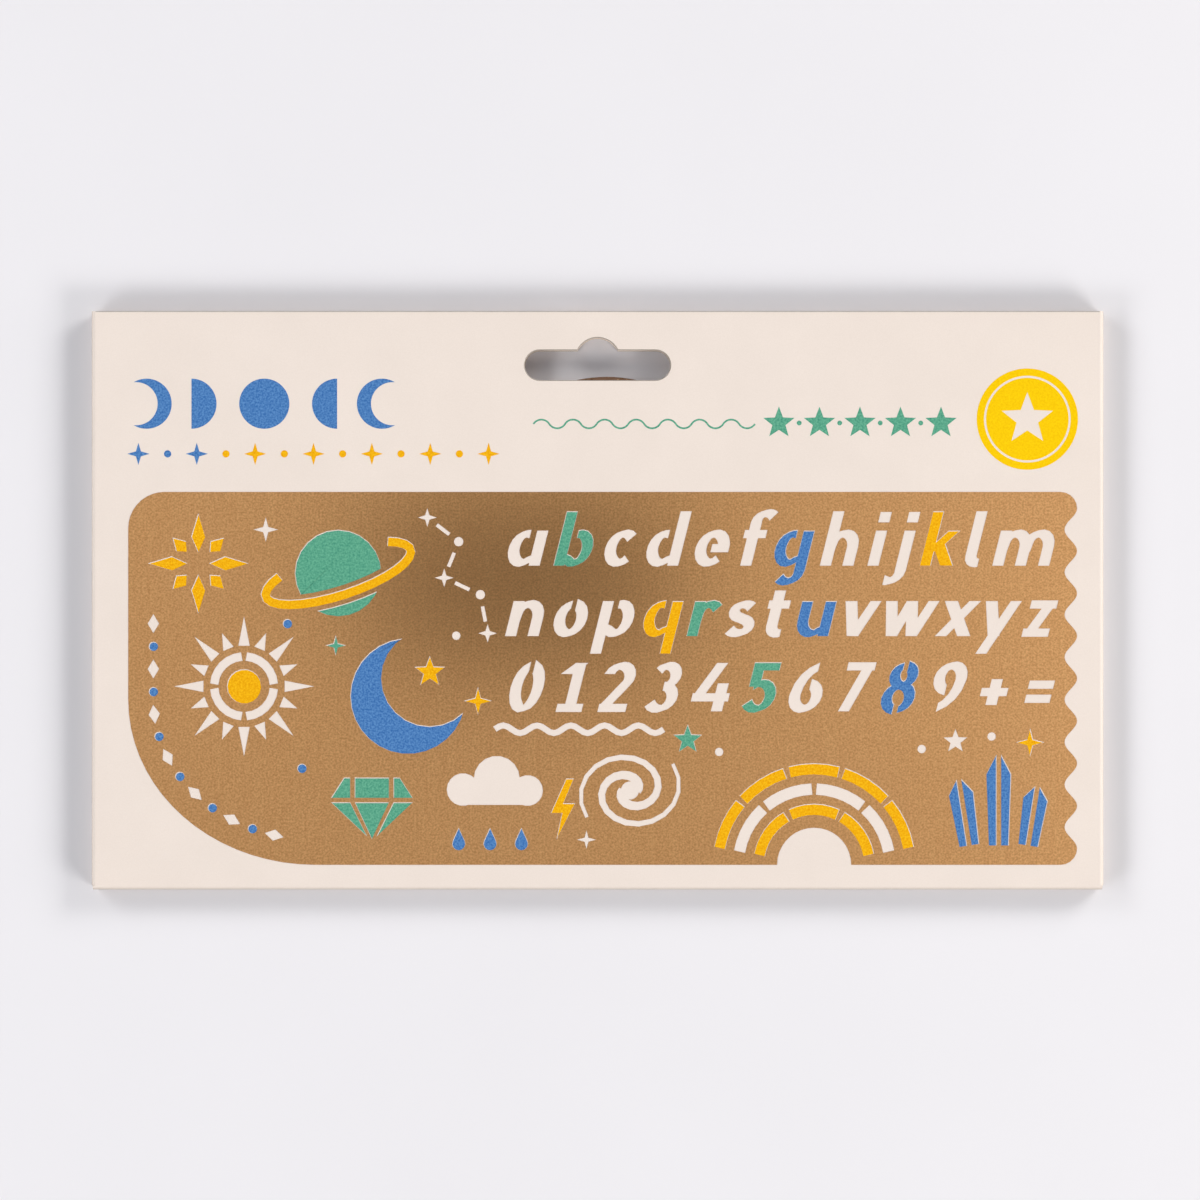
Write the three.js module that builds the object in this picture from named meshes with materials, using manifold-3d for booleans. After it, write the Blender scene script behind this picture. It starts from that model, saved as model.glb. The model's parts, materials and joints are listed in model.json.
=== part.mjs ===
// Card pack with a brass drawing stencil inside, in millimetres.
// The pack lies on its back: X is its width, Y runs up to the hang slot, Z is its depth.
// A wallet folded from one card blank holds a kraft carrier, whose turned-up lip holds the stencil.
import * as THREE from 'three';
import { mergeVertices } from 'three/addons/utils/BufferGeometryUtils.js';
import Module from 'manifold-3d';

const wasm = await Module();
wasm.setup();

// Wallet
const packWidth = 210;
const packHeight = 120;
const cardThickness = 0.45;
const creaseRadius = 0.9; // outside of the two creases at each edge
const flapDepth = 14;
const flapTaper = 5;
const backInset = 0.3; // the back panel stops this short of the side creases
const glueThickness = 0.1;
const glueWidth = 5;
const glueEndMargin = 16;

// Hang slot, through the front and back panels
const slotLength = 30.2;
const slotHeight = 6.2;
const slotDrop = 11.2; // pack's top edge to the middle of the slot
const humpRadius = 4.6;
const humpRise = 1.1; // middle of the slot to the centre of its hump

// Carrier
const kraftThickness = 0.4;
const carrierSideGap = 1.2;
const carrierSeatGap = 0.5;
const lipHeight = 10;
const lipTaper = 6;
const tongueRadius = 30;
const tongueShift = 1.9; // to the right of the slot's middle
const tongueShow = 0.8; // what the slot shows of it
const shoulderDrop = 6.5;
const slideGap = 0.12; // between faces that slide on each other

// Stencil, which fills the pack but for a margin at each side and the header over it
const stencilSideMargin = 6.65;
const headerHeight = 42.7;
const stencilWidth = packWidth - 2 * stencilSideMargin;
const stencilHeight = packHeight - headerHeight;
const stencilThickness = 0.5;

// Foil print of the stencil on the front panel
const foilThickness = 0.03;
const foilLeftMargin = 7.7;
const foilBottomMargin = 5.2;

// The sheet's edge and its cut-outs are drawn on a grid of squares, each about 1 mm, that is
// stretched to the sheet. All sizes from here to the rows of letters are on that grid.
const grid = { columns: 196.7, rows: 77.3, bridge: 0.9 };
const edge = {
  corner: 3.4,
  topLeftCorner: 7.5,
  sweepWidth: 38.8,
  sweepHeight: 34.2,
  scallops: 8,
  scallopDepth: 2.6,
  notch: { x: 142.2, radius: 7.7 },
};
const { bridge } = grid;
const arcStep = 20; // degrees along a small arc
const fineArcStep = 10;

// Letters: pen is in heights of a small x, and its angles in degrees. The end of a curved stroke is
// cut upright if its slope is under flat, level if it is over steep, and square to it elsewhere.
const letters = { height: 7.3, slant: 0.25, rowStart: 78, rowEnd: 191 };
const pen = { thick: 0.33, thin: 0.19, angle: 20, flat: 37, steep: 65 };
const rows = [
  { text: 'abcdefghijklm', baseline: 62 },
  { text: 'nopqrstuvwxyz', baseline: 47.4 },
  { text: '0123456789+=', baseline: 31.8 },
];

// Levels, from the table up
const flapBottom = cardThickness + glueThickness;
const carrierBottom = flapBottom + cardThickness + slideGap;
const stencilBottom = carrierBottom + kraftThickness + slideGap;
const lipBottom = stencilBottom + stencilThickness + slideGap;
const lipTop = lipBottom + kraftThickness;
const frontBottom = lipTop + slideGap;
const packDepth = frontBottom + cardThickness;

// Places that several pieces share
const packTop = packHeight / 2;
const packFoot = -packHeight / 2;
const spineRadius = Math.min(creaseRadius, (packDepth - flapBottom) / 2);
const panelSide = packWidth / 2 - spineRadius;
const panelFoot = packFoot + spineRadius;
const backSide = packWidth / 2 - backInset;
const slotPlace = packTop - slotDrop;
const carrierSide = packWidth / 2 - cardThickness - carrierSideGap;
const carrierFoot = packFoot + cardThickness + carrierSeatGap;
const carrierFoldRadius = (lipTop - carrierBottom) / 2;
const kraftFoot = carrierFoot + carrierFoldRadius;
const tongueTop = slotPlace - slotHeight / 2 + tongueShow;

// Plain shapes

const radians = THREE.MathUtils.degToRad;
const degrees = THREE.MathUtils.radToDeg;
const point = (x, y) => new THREE.Vector2(x, y);
const copies = (count, make) => Array.from({ length: count }, (_, i) => make(i));

// Points along an ellipse from one angle to another, in degrees.
function arc(x, y, rx, ry, from, to, step = arcStep) {
  const count = Math.ceil(Math.abs(to - from) / step);
  return copies(count + 1, (i) => {
    const angle = radians(from + ((to - from) * i) / count);
    return point(x + rx * Math.cos(angle), y + ry * Math.sin(angle));
  });
}

// A whole circle, whose last point isn't repeated.
function circle(x, y, radius, step = arcStep) {
  return arc(x, y, radius, radius, 0, 360, step).slice(0, -1);
}

function line(x0, y0, x1, y1) {
  return [point(x0, y0), point(x1, y1)];
}

function rectangle(left, foot, right, top) {
  return [point(left, foot), point(right, foot), point(right, top), point(left, top)];
}

// A star of any number of points; two points make a diamond.
function star(x, y, tips, outer, inner, turn = 90) {
  return copies(tips * 2, (i) => {
    const angle = radians(turn + (180 * i) / tips);
    const radius = i % 2 ? inner : outer;
    return point(x + radius * Math.cos(angle), y + radius * Math.sin(angle));
  });
}

// Points turned by some degrees, scaled, and moved to a place.
function place(points, x, y, turn = 0, size = 1) {
  return points.map((p) =>
    p.clone().rotateAround(point(0, 0), radians(turn)).multiplyScalar(size).add(point(x, y)),
  );
}

// The outline of a stroke along a path. widthAt gives its width from its direction, and from how
// much of the path lies behind.
function ribbon(path, widthAt) {
  const left = [];
  const right = [];
  path.forEach((p, i) => {
    const before = path[Math.max(i - 1, 0)];
    const after = path[Math.min(i + 1, path.length - 1)];
    const along = after.clone().sub(before).normalize();
    const width = widthAt(along.angle(), i / (path.length - 1));
    const out = point(-along.y, along.x).multiplyScalar(width / 2);
    left.push(p.clone().add(out));
    right.unshift(p.clone().sub(out));
  });
  return [...left, ...right];
}

const band = (path, width) => ribbon(path, () => width);

function extrude(outline, thickness, holes = []) {
  const shape = new THREE.Shape(outline);
  shape.holes = holes.map((hole) => new THREE.Path(hole));
  return new THREE.ExtrudeGeometry(shape, { depth: thickness, bevelEnabled: false });
}

// Solids for cutting and joining

function solidOf(geometry) {
  const bare = geometry.clone();
  bare.deleteAttribute('normal');
  bare.deleteAttribute('uv');
  const merged = mergeVertices(bare);
  return new wasm.Manifold(
    new wasm.Mesh({
      numProp: 3,
      vertProperties: merged.attributes.position.array,
      triVerts: new Uint32Array(merged.index.array),
    }),
  );
}

function geometryOf(solid) {
  const mesh = solid.getMesh();
  const geometry = new THREE.BufferGeometry();
  geometry.setAttribute('position', new THREE.BufferAttribute(mesh.vertProperties, 3));
  geometry.setIndex(new THREE.BufferAttribute(mesh.triVerts, 1));
  geometry.computeVertexNormals();
  return geometry;
}

const joined = (cutters) => cutters.reduce((all, next) => all.add(next));

// An outline on the grid, stretched to the sheet.
function onSheet(outline) {
  const square = point(stencilWidth / grid.columns, stencilHeight / grid.rows);
  return outline.map((p) => p.clone().multiply(square));
}

// A cutter from an outline on the grid. It is as tall as three sheets, and the sheet is its middle.
function cut(outline) {
  const tall = extrude(onSheet(outline), 3 * stencilThickness);
  return solidOf(tall.translate(0, 0, -stencilThickness));
}

// Letters and numbers, each its width and then its pen strokes

// Bowls and arches start or end inside the stem that they join. Where a stroke closes on itself,
// it leaves a bridge that holds its middle.
const leftStem = 0.17;
const rightStem = 0.84;
const intoStem = point(0.9, 0.27);
const bowlLeft = [...arc(0.45, 0.5, 0.3, 0.41, 77, 305), intoStem]; // opens beside a stem on its right
const bowlRight = [point(0.08, 0.27), ...arc(0.55, 0.5, 0.3, 0.41, 235, 463)]; // and on its left
const arch = [point(leftStem, 0.4), ...arc(0.5, 0.55, 0.31, 0.36, 160, 0), point(0.81, 0)];
const stem = (x, top, foot = 0) => line(x, top, x, foot);
const dot = (x, y) => stem(x, y + 0.15, y - 0.15);
const six = [
  ...arc(0.87, 0.43, 0.71, 0.88, 108, 176),
  ...arc(0.47, 0.43, 0.31, 0.35, 180, 440),
];
const halfTurn = (path) => path.map((p) => point(0.94 - p.x, 1.38 - p.y));

const glyphs = {
  a: [1, bowlLeft, stem(rightStem, 1)],
  b: [1, bowlRight, stem(leftStem, 1.55)],
  c: [0.82, arc(0.46, 0.5, 0.31, 0.41, 45, 315)],
  d: [1, bowlLeft, stem(rightStem, 1.55)],
  e: [0.9, arc(0.47, 0.5, 0.32, 0.41, 0, 315), line(0.44, 0.5, 0.95, 0.5)],
  f: [0.62, [...arc(0.53, 1.24, 0.26, 0.25, 40, 180), point(0.27, 0)], line(0, 0.9, 0.64, 0.9)],
  g: [1, bowlLeft, [point(rightStem, 1), ...arc(0.54, -0.14, 0.3, 0.3, 0, -140)]],
  h: [0.98, arch, stem(leftStem, 1.55)],
  i: [0.34, stem(leftStem, 1), dot(leftStem, 1.38)],
  j: [0.4, [point(0.27, 1), ...arc(-0.02, -0.14, 0.29, 0.29, 0, -115)], dot(0.27, 1.38)],
  k: [0.86, stem(leftStem, 1.55), line(0.76, 1, 0.24, 0.4), line(0.4, 0.64, 0.78, 0)],
  l: [0.46, [point(leftStem, 1.55), ...arc(0.39, 0.28, 0.22, 0.2, 180, 280)]],
  m: [1.64, arch, place(arch, 0.66, 0), stem(leftStem, 1)],
  n: [0.98, arch, stem(leftStem, 1)],
  o: [0.94, arc(0.47, 0.5, 0.31, 0.41, 101, 439)],
  p: [1, bowlRight, stem(leftStem, 1, -0.5)],
  q: [1, bowlLeft, stem(rightStem, 1, -0.5)],
  r: [0.72, [point(leftStem, 0.4), ...arc(0.48, 0.56, 0.3, 0.35, 160, 40)], stem(leftStem, 1)],
  s: [0.78, [...arc(0.43, 0.71, 0.25, 0.19, 35, 260), ...arc(0.4, 0.29, 0.28, 0.2, 75, -150)]],
  t: [0.62, [point(0.25, 1.3), ...arc(0.47, 0.28, 0.22, 0.2, 180, 290)], line(0, 0.9, 0.62, 0.9)],
  u: [1, [point(leftStem, 1), ...arc(0.48, 0.45, 0.31, 0.36, 180, 305), intoStem], stem(rightStem, 1)],
  v: [0.84, line(0.1, 1, 0.38, 0), line(0.38, 0, 0.8, 1)],
  w: [1.36, line(0.1, 1, 0.34, 0), line(0.34, 0, 0.68, 1), line(0.68, 1, 0.9, 0), line(0.9, 0, 1.3, 1)],
  x: [0.84, line(0.12, 1, 0.72, 0), line(0.8, 1, 0.06, 0)],
  y: [0.86, line(0.12, 1, 0.42, 0), line(0.82, 1, 0.18, -0.5)],
  z: [0.84, line(0.08, 0.9, 0.84, 0.9), line(0.68, 1, 0.2, 0), line(0.04, 0.1, 0.8, 0.1)],
  0: [0.94, arc(0.47, 0.69, 0.31, 0.6, 101, 439)],
  1: [0.78, stem(0.46, 1.38), line(0.5, 1.38, 0.14, 1.06), line(0.08, 0.1, 0.82, 0.1)],
  2: [0.92, [...arc(0.44, 0.98, 0.3, 0.31, 165, -35), point(0.2, 0.12)], line(0.06, 0.1, 0.86, 0.1)],
  3: [0.86, arc(0.42, 1.01, 0.27, 0.28, 150, -90), arc(0.41, 0.4, 0.32, 0.32, 90, -150)],
  4: [1.04, line(0.64, 1.38, 0.16, 0.4), line(0, 0.4, 1.06, 0.4), stem(0.8, 0.8)],
  5: [0.86, line(0.08, 1.28, 0.84, 1.28), stem(0.24, 1.38, 0.7), arc(0.42, 0.44, 0.33, 0.36, 128, -150)],
  6: [0.94, six],
  7: [0.84, line(0.08, 1.28, 0.88, 1.28), line(0.7, 1.3, 0.28, 0)],
  8: [0.92, arc(0.48, 1.03, 0.25, 0.27, 103, 437), arc(0.47, 0.39, 0.32, 0.34, -79, 259)],
  9: [0.94, halfTurn(six)],
  '+': [0.86, line(0.06, 0.55, 0.82, 0.55), stem(0.44, 0.92, 0.18)],
  '=': [0.86, line(0.08, 0.76, 0.8, 0.76), line(0.08, 0.36, 0.8, 0.36)],
};

const penWidth = (direction) =>
  pen.thin + (pen.thick - pen.thin) * Math.abs(Math.sin(direction - radians(pen.angle)));

// A straight stroke, whose ends are cut level if it is steep and upright if it is flat.
function slab([from, to]) {
  const along = to.clone().sub(from);
  const width = penWidth(along.angle());
  const rise = Math.abs(along.y) / along.length();
  const run = Math.abs(along.x) / along.length();
  const out = rise > 0.5 ? point(width / rise / 2, 0) : point(0, width / run / 2);
  return [from.clone().add(out), to.clone().add(out), to.clone().sub(out), from.clone().sub(out)];
}

// How far the edge of a curved stroke lies from its path at one end.
function endReach(from, to) {
  const along = to.clone().sub(from).normalize();
  const half = penWidth(along.angle()) / 2;
  const slope = degrees(Math.asin(Math.abs(along.y)));
  if (slope < pen.flat) return point(0, half / along.x);
  if (slope > pen.steep) return point(-half / along.y, 0);
  return point(-along.y, along.x).multiplyScalar(half);
}

function curvedStroke(path) {
  const outline = ribbon(path, penWidth);
  const last = path.length - 1;
  const reaches = { 0: endReach(path[0], path[1]), [last]: endReach(path[last - 1], path[last]) };
  Object.entries(reaches).forEach(([end, reach]) => {
    outline[end] = path[end].clone().add(reach);
    outline[2 * last + 1 - end] = path[end].clone().sub(reach);
  });
  return outline;
}

const stroke = (path) => (path.length === 2 ? slab(path) : curvedStroke(path));

// The strokes of one letter, slanted, with its origin at a place on the baseline.
function letter(strokes, x, baseline) {
  const { height, slant } = letters;
  const outlines = strokes.map((path) =>
    stroke(path).map((p) => point(x + height * (p.x + slant * p.y), baseline + height * p.y)),
  );
  return joined(outlines.map(cut));
}

// A row's letters, with equal spaces between them from the row's start to its end.
function letterRow({ text, baseline }) {
  const widths = [...text].map((character) => glyphs[character][0] * letters.height);
  const inked = widths.reduce((sum, width) => sum + width, 0);
  const space = (letters.rowEnd - letters.rowStart - inked) / (text.length - 1);
  let x = letters.rowStart;
  return [...text].map((character, i) => {
    const solid = letter(glyphs[character].slice(1), x, baseline);
    x += widths[i] + space;
    return solid;
  });
}

// Motifs, each a list of cutters

// A disc, a broken ring and rays that are long and short by turns.
function sun({ x, y, disc, ring, ringWidth, rayFoot, longRay, shortRay, rays }) {
  const parts = 4;
  const gap = degrees(bridge / ring);
  const ringParts = copies(parts, (i) => {
    const from = (360 / parts) * i + gap / 2;
    return band(arc(x, y, ring, ring, from, from + 360 / parts - gap, 15), ringWidth);
  });
  const halfFoot = (Math.PI * rayFoot) / rays - bridge / 2;
  const rayParts = copies(rays, (i) => {
    const ray = [point(rayFoot, -halfFoot), point(i % 2 ? shortRay : longRay, 0), point(rayFoot, halfFoot)];
    return place(ray, x, y, (360 / rays) * i);
  });
  return [circle(x, y, disc), ...ringParts, ...rayParts].map(cut);
}

// A planet whose ring passes in front of it, with a bridge on both sides of the ring.
function planet({ x, y, radius, ringReach, ringRise, ringWidth, tilt }) {
  const path = place(arc(0, 0, ringReach, ringRise, 138, 402, 12), x, y, tilt);
  const moat = cut(band(path, ringWidth + 2 * bridge));
  return [cut(circle(x, y, radius, 15)).subtract(moat), cut(band(path, ringWidth))];
}

// A crescent: a disc bitten by a smaller one, whose centre is shifted towards the horns.
function crescent({ x, y, radius, bite, shift, horns }) {
  const [centre] = place([point(shift, 0)], x, y, horns);
  return [cut(circle(x, y, radius, 12)).subtract(cut(circle(centre.x, centre.y, bite, 15)))];
}

// Diamonds round a centre, long and short by turns.
function compass({ x, y, longReach, shortReach, longFoot, shortFoot, width }) {
  const points = 8;
  return copies(points, (i) => {
    const foot = i % 2 ? shortFoot : longFoot;
    const reach = i % 2 ? shortReach : longReach;
    const middle = foot + 0.4 * (reach - foot);
    const kite = [point(foot, 0), point(middle, -width / 2), point(reach, 0), point(middle, width / 2)];
    return cut(place(kite, x, y, (360 / points) * i));
  });
}

// Stars and dots by turns, joined by thin lines that stop short of each.
function constellation({ places, starRadius, lineWidth }) {
  const marks = places.map(([x, y], i) =>
    i % 2 ? circle(x, y, starRadius / 2, 30) : star(x, y, 4, starRadius, starRadius / 3),
  );
  const lines = places.slice(1).map(([x, y], i) => {
    const from = point(...places[i]);
    const to = point(x, y);
    const trim = to.clone().sub(from).setLength(starRadius + bridge / 2);
    return band([from.add(trim), to.sub(trim)], lineWidth);
  });
  return [...marks, ...lines].map(cut);
}

// A cloud of three round puffs on a flat base.
function cloud({ x, y, reach, puffs }) {
  const base = rectangle(x - reach, y, x + reach, y + puffs[0].radius);
  const rounds = puffs.map(({ shift, rise, radius }) => circle(x + shift, y + rise, radius));
  return [joined([base, ...rounds].map(cut))];
}

// A drop with its point up.
function drop({ x, y, radius }) {
  return [cut([point(x, y + 2.4 * radius), ...arc(x, y, radius, radius, 155, 385, 30)])];
}

// Two spiral arms that leave a round middle and get thinner.
function galaxy({ x, y, reach, flatness, turns, width }) {
  const steps = 21;
  const arms = [0, 180].map((start) => {
    const path = copies(steps + 1, (i) => {
      const angle = radians(start + (360 * turns * i) / steps);
      const radius = reach * (0.12 + (0.88 * i) / steps);
      return point(x + radius * Math.cos(angle), y + flatness * radius * Math.sin(angle));
    });
    return ribbon(path, (_, share) => width * (1.15 - 0.75 * share));
  });
  return [joined([...arms, circle(x, y, width)].map(cut))];
}

// Pointed crystals side by side, each split by a bridge along its edge.
function crystals({ x, y, width, stones }) {
  return stones.flatMap(({ height, lean }, i) => {
    const shift = (i - (stones.length - 1) / 2) * (width + bridge);
    const edge = height * 0.78;
    return [-1, 1].map((side) => {
      const inside = (side * bridge) / 2;
      const outside = (side * width) / 2;
      const facet = [point(inside, 0), point(outside * 0.8, 0), point(outside, edge), point(inside, height)];
      return cut(place(facet, x + shift, y, lean));
    });
  });
}

// A cut gem: three facets over three, with bridges between them.
function gem({ x, y, width, height }) {
  const half = width / 2;
  const girdle = height * 0.62;
  const crown = girdle + bridge;
  const inner = half * 0.42;
  const middle = [
    [point(-inner, crown), point(inner, crown), point(inner, height), point(-inner, height)],
    [point(-inner, girdle), point(inner, girdle), point(0, girdle * 0.08)],
  ];
  const sides = [-1, 1].flatMap((side) => {
    const near = side * (inner + bridge);
    const far = side * half;
    return [
      [point(far, crown), point(near, crown), point(near, height), point(far * 0.68, height)],
      [point(far, girdle), point(near, girdle), point(side * bridge, girdle * 0.14)],
    ];
  });
  return [...middle, ...sides].map((facet) => cut(place(facet, x, y)));
}

// Arcs round the notch, one over the other, each broken by bridges.
function rainbow({ x, firstRadius, width, gap, parts, footAngle }) {
  return parts.flatMap((count, i) => {
    const radius = firstRadius + (width + gap) * i + width / 2;
    const opening = degrees(bridge / radius);
    const pitch = (180 - 2 * footAngle + opening) / count;
    return copies(count, (part) => {
      const from = footAngle + part * pitch;
      return cut(band(arc(x, 0, radius, radius, from, from + pitch - opening, 9), width));
    });
  });
}

function wave({ from, to, y, rise, length, width }) {
  const steps = Math.round(((to - from) / length) * 8);
  const path = copies(steps + 1, (i) => {
    const along = ((to - from) * i) / steps;
    return point(from + along, y + rise * Math.sin((2 * Math.PI * along) / length));
  });
  return [cut(band(path, width))];
}

function bolt({ x, y, size }) {
  const shape = [
    point(0.12, 1),
    point(-0.38, -0.12),
    point(-0.02, -0.12),
    point(-0.2, -1),
    point(0.42, 0.2),
    point(0.04, 0.2),
    point(0.38, 1),
  ];
  return [cut(place(shape, x, y, 0, size))];
}

const sparkle = ({ x, y, radius }) => [cut(star(x, y, 4, radius, radius * 0.3))];
const fiveStar = ({ x, y, radius }) => [cut(star(x, y, 5, radius, radius * 0.42))];
const dotMark = ({ x, y, radius }) => [cut(circle(x, y, radius, 30))];

// Diamonds and dots by turns along the left edge and the sweep, an even way in from them.
function border({ inset, top, spacing, diamondRadius, dotRadius }) {
  const { sweepWidth: rx, sweepHeight: ry } = edge;
  const path = [point(inset, top), ...arc(rx, ry, rx - inset, ry - inset, 180, 262, 1)];
  const lengths = path.slice(1).map((p, i) => p.distanceTo(path[i]));
  const whole = lengths.reduce((sum, length) => sum + length, 0);
  return copies(Math.floor(whole / spacing) + 1, (count) => {
    let i = 0;
    let left = count * spacing;
    while (i < lengths.length - 1 && left > lengths[i]) {
      left -= lengths[i];
      i += 1;
    }
    const along = path[i + 1].clone().sub(path[i]);
    const at = path[i].clone().add(along.clone().setLength(left));
    const mark = star(at.x, at.y, 2, diamondRadius, diamondRadius * 0.6, degrees(along.angle()));
    return cut(count % 2 ? circle(at.x, at.y, dotRadius, 30) : mark);
  });
}

const motifs = [
  ...compass({
    x: 14.5,
    y: 62.5,
    longReach: 10.5,
    shortReach: 7.6,
    longFoot: 2.2,
    shortFoot: 3.3,
    width: 3,
  }),
  ...planet({ x: 43.5, y: 60.5, radius: 9, ringReach: 15.8, ringRise: 4.6, ringWidth: 2, tilt: 18 }),
  ...sun({
    x: 24,
    y: 37,
    disc: 3.6,
    ring: 6.2,
    ringWidth: 1.8,
    rayFoot: 8.4,
    longRay: 14.6,
    shortRay: 12,
    rays: 16,
  }),
  ...crescent({ x: 58, y: 35, radius: 12, bite: 10, shift: 5.8, horns: 40 }),
  ...gem({ x: 50.5, y: 4.6, width: 17, height: 13.5 }),
  ...cloud({
    x: 76,
    y: 12.4,
    reach: 6.8,
    puffs: [
      { shift: -6.6, rise: 3.2, radius: 3.4 },
      { shift: 0.4, rise: 5.4, radius: 4.8 },
      { shift: 6.8, rise: 3, radius: 3.2 },
    ],
  }),
  ...galaxy({ x: 104, y: 15.4, reach: 11, flatness: 0.86, turns: 1.1, width: 1.9 }),
  ...rainbow({
    x: edge.notch.x,
    firstRadius: edge.notch.radius + 2.6,
    width: 2.4,
    gap: 1.8,
    parts: [3, 4, 5],
    footAngle: 10,
  }),
  ...crystals({
    x: 180.5,
    y: 4,
    width: 5.2,
    stones: [
      { height: 14, lean: 9 },
      { height: 19, lean: 0 },
      { height: 12.5, lean: -9 },
    ],
  }),
  ...constellation({
    places: [
      [62, 72],
      [68.5, 67],
      [65.5, 59.5],
      [73, 56],
      [74.5, 48],
    ],
    starRadius: 2,
    lineWidth: 0.8,
  }),
  ...border({ inset: 5.2, top: 50, spacing: 4.7, diamondRadius: 2, dotRadius: 1 }),
  ...wave({ from: 76, to: 111, y: 28.1, rise: 0.8, length: 7, width: 1.3 }),
  ...bolt({ x: 90, y: 11.5, size: 6.4 }),
  ...[68.5, 75, 81.5].flatMap((x) => drop({ x, y: 4.4, radius: 1.4 })),
  ...fiveStar({ x: 62.5, y: 40, radius: 3.4 }),
  ...fiveStar({ x: 116, y: 26, radius: 3.2 }),
  ...fiveStar({ x: 171.5, y: 25.6, radius: 2.6 }),
  ...sparkle({ x: 28.5, y: 69.5, radius: 2.6 }),
  ...sparkle({ x: 43, y: 45.5, radius: 2.2 }),
  ...sparkle({ x: 72.5, y: 34, radius: 3 }),
  ...sparkle({ x: 95, y: 5.2, radius: 2 }),
  ...sparkle({ x: 187, y: 25.4, radius: 3 }),
  ...dotMark({ x: 33, y: 50, radius: 1 }),
  ...dotMark({ x: 36, y: 20, radius: 1 }),
  ...dotMark({ x: 68, y: 47.5, radius: 0.9 }),
  ...dotMark({ x: 122.5, y: 23.4, radius: 0.9 }),
  ...dotMark({ x: 164.5, y: 24, radius: 0.9 }),
  ...dotMark({ x: 179, y: 26.6, radius: 0.9 }),
];

// Outlines

// The sheet's edge, from the end of the sweep, anticlockwise.
function sheetOutline() {
  const { corner, topLeftCorner, sweepWidth, sweepHeight, notch } = edge;
  const top = grid.rows;
  const right = grid.columns - corner;
  const stepsPerScallop = 16;
  const steps = edge.scallops * stepsPerScallop;
  const scallops = copies(steps - 1, (i) => {
    const share = (i + 1) / steps;
    const dip = (edge.scallopDepth / 2) * (1 - Math.cos(2 * Math.PI * edge.scallops * share));
    return point(grid.columns - dip, corner + (top - 2 * corner) * share);
  });
  return onSheet([
    ...arc(notch.x, 0, notch.radius, notch.radius, 180, 0, fineArcStep),
    ...arc(right, corner, corner, corner, -90, 0),
    ...scallops,
    ...arc(right, top - corner, corner, corner, 0, 90),
    ...arc(topLeftCorner, top - topLeftCorner, topLeftCorner, topLeftCorner, 90, 180, fineArcStep),
    ...arc(sweepWidth, sweepHeight, sweepWidth, sweepHeight, 180, 270, fineArcStep / 2),
  ]);
}

// The hang slot: a bar with round ends and a round hump over its middle.
function hangSlot() {
  const end = slotHeight / 2;
  const reach = slotLength / 2 - end;
  const humpFoot = degrees(Math.asin((end - humpRise) / humpRadius));
  const outline = [
    ...arc(reach, 0, end, end, -90, 90, fineArcStep),
    ...arc(0, humpRise, humpRadius, humpRadius, humpFoot, 180 - humpFoot, fineArcStep),
    ...arc(-reach, 0, end, end, 90, 270, fineArcStep),
  ];
  return place(outline, 0, slotPlace);
}

// The section of a fold in card, shaped like a C: two quarter turns, with its back at x = 0.
function foldSection(foot, top, radius, thickness) {
  const inner = radius - thickness;
  const step = 18;
  return [
    ...arc(radius, top - radius, radius, radius, 90, 180, step),
    ...arc(radius, foot + radius, radius, radius, 180, 270, step),
    ...arc(radius, foot + radius, inner, inner, 270, 180, step),
    ...arc(radius, top - radius, inner, inner, 180, 90, step),
  ];
}

// The kraft card, with a round tongue on its top edge.
function carrierOutline() {
  const centre = tongueTop - tongueRadius;
  const shoulder = tongueTop - shoulderDrop;
  const foot = degrees(Math.asin((shoulder - centre) / tongueRadius));
  return [
    point(-carrierSide, kraftFoot),
    point(carrierSide, kraftFoot),
    point(carrierSide, shoulder),
    ...arc(tongueShift, centre, tongueRadius, tongueRadius, foot, 180 - foot, 3),
    point(-carrierSide, shoulder),
  ];
}

// Finishes

const card = new THREE.MeshStandardMaterial({ color: 0xf1e5dc, roughness: 0.8 });
const kraft = new THREE.MeshStandardMaterial({ color: 0x8a6248, roughness: 0.9 });
const brass = new THREE.MeshStandardMaterial({ color: 0xc39452, roughness: 0.35, metalness: 1 });
const foil = new THREE.MeshStandardMaterial({ color: 0xb8874f, roughness: 0.3, metalness: 1 });
const glue = new THREE.MeshStandardMaterial({ color: 0xe8e2cf, roughness: 0.4 });

// Assembly

const pack = new THREE.Group();

function add(name, geometry, material, x, y, z) {
  const mesh = new THREE.Mesh(geometry, material.clone());
  mesh.name = name;
  mesh.position.set(x, y, z);
  pack.add(mesh);
  return mesh;
}

function addPanels() {
  const front = rectangle(-panelSide, panelFoot, panelSide, packTop);
  const back = rectangle(-backSide, panelFoot, backSide, packTop);
  add('front_panel', extrude(front, cardThickness, [hangSlot()]), card, 0, 0, frontBottom);
  add('back_panel', extrude(back, cardThickness, [hangSlot()]), card, 0, 0, 0);
}

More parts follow.
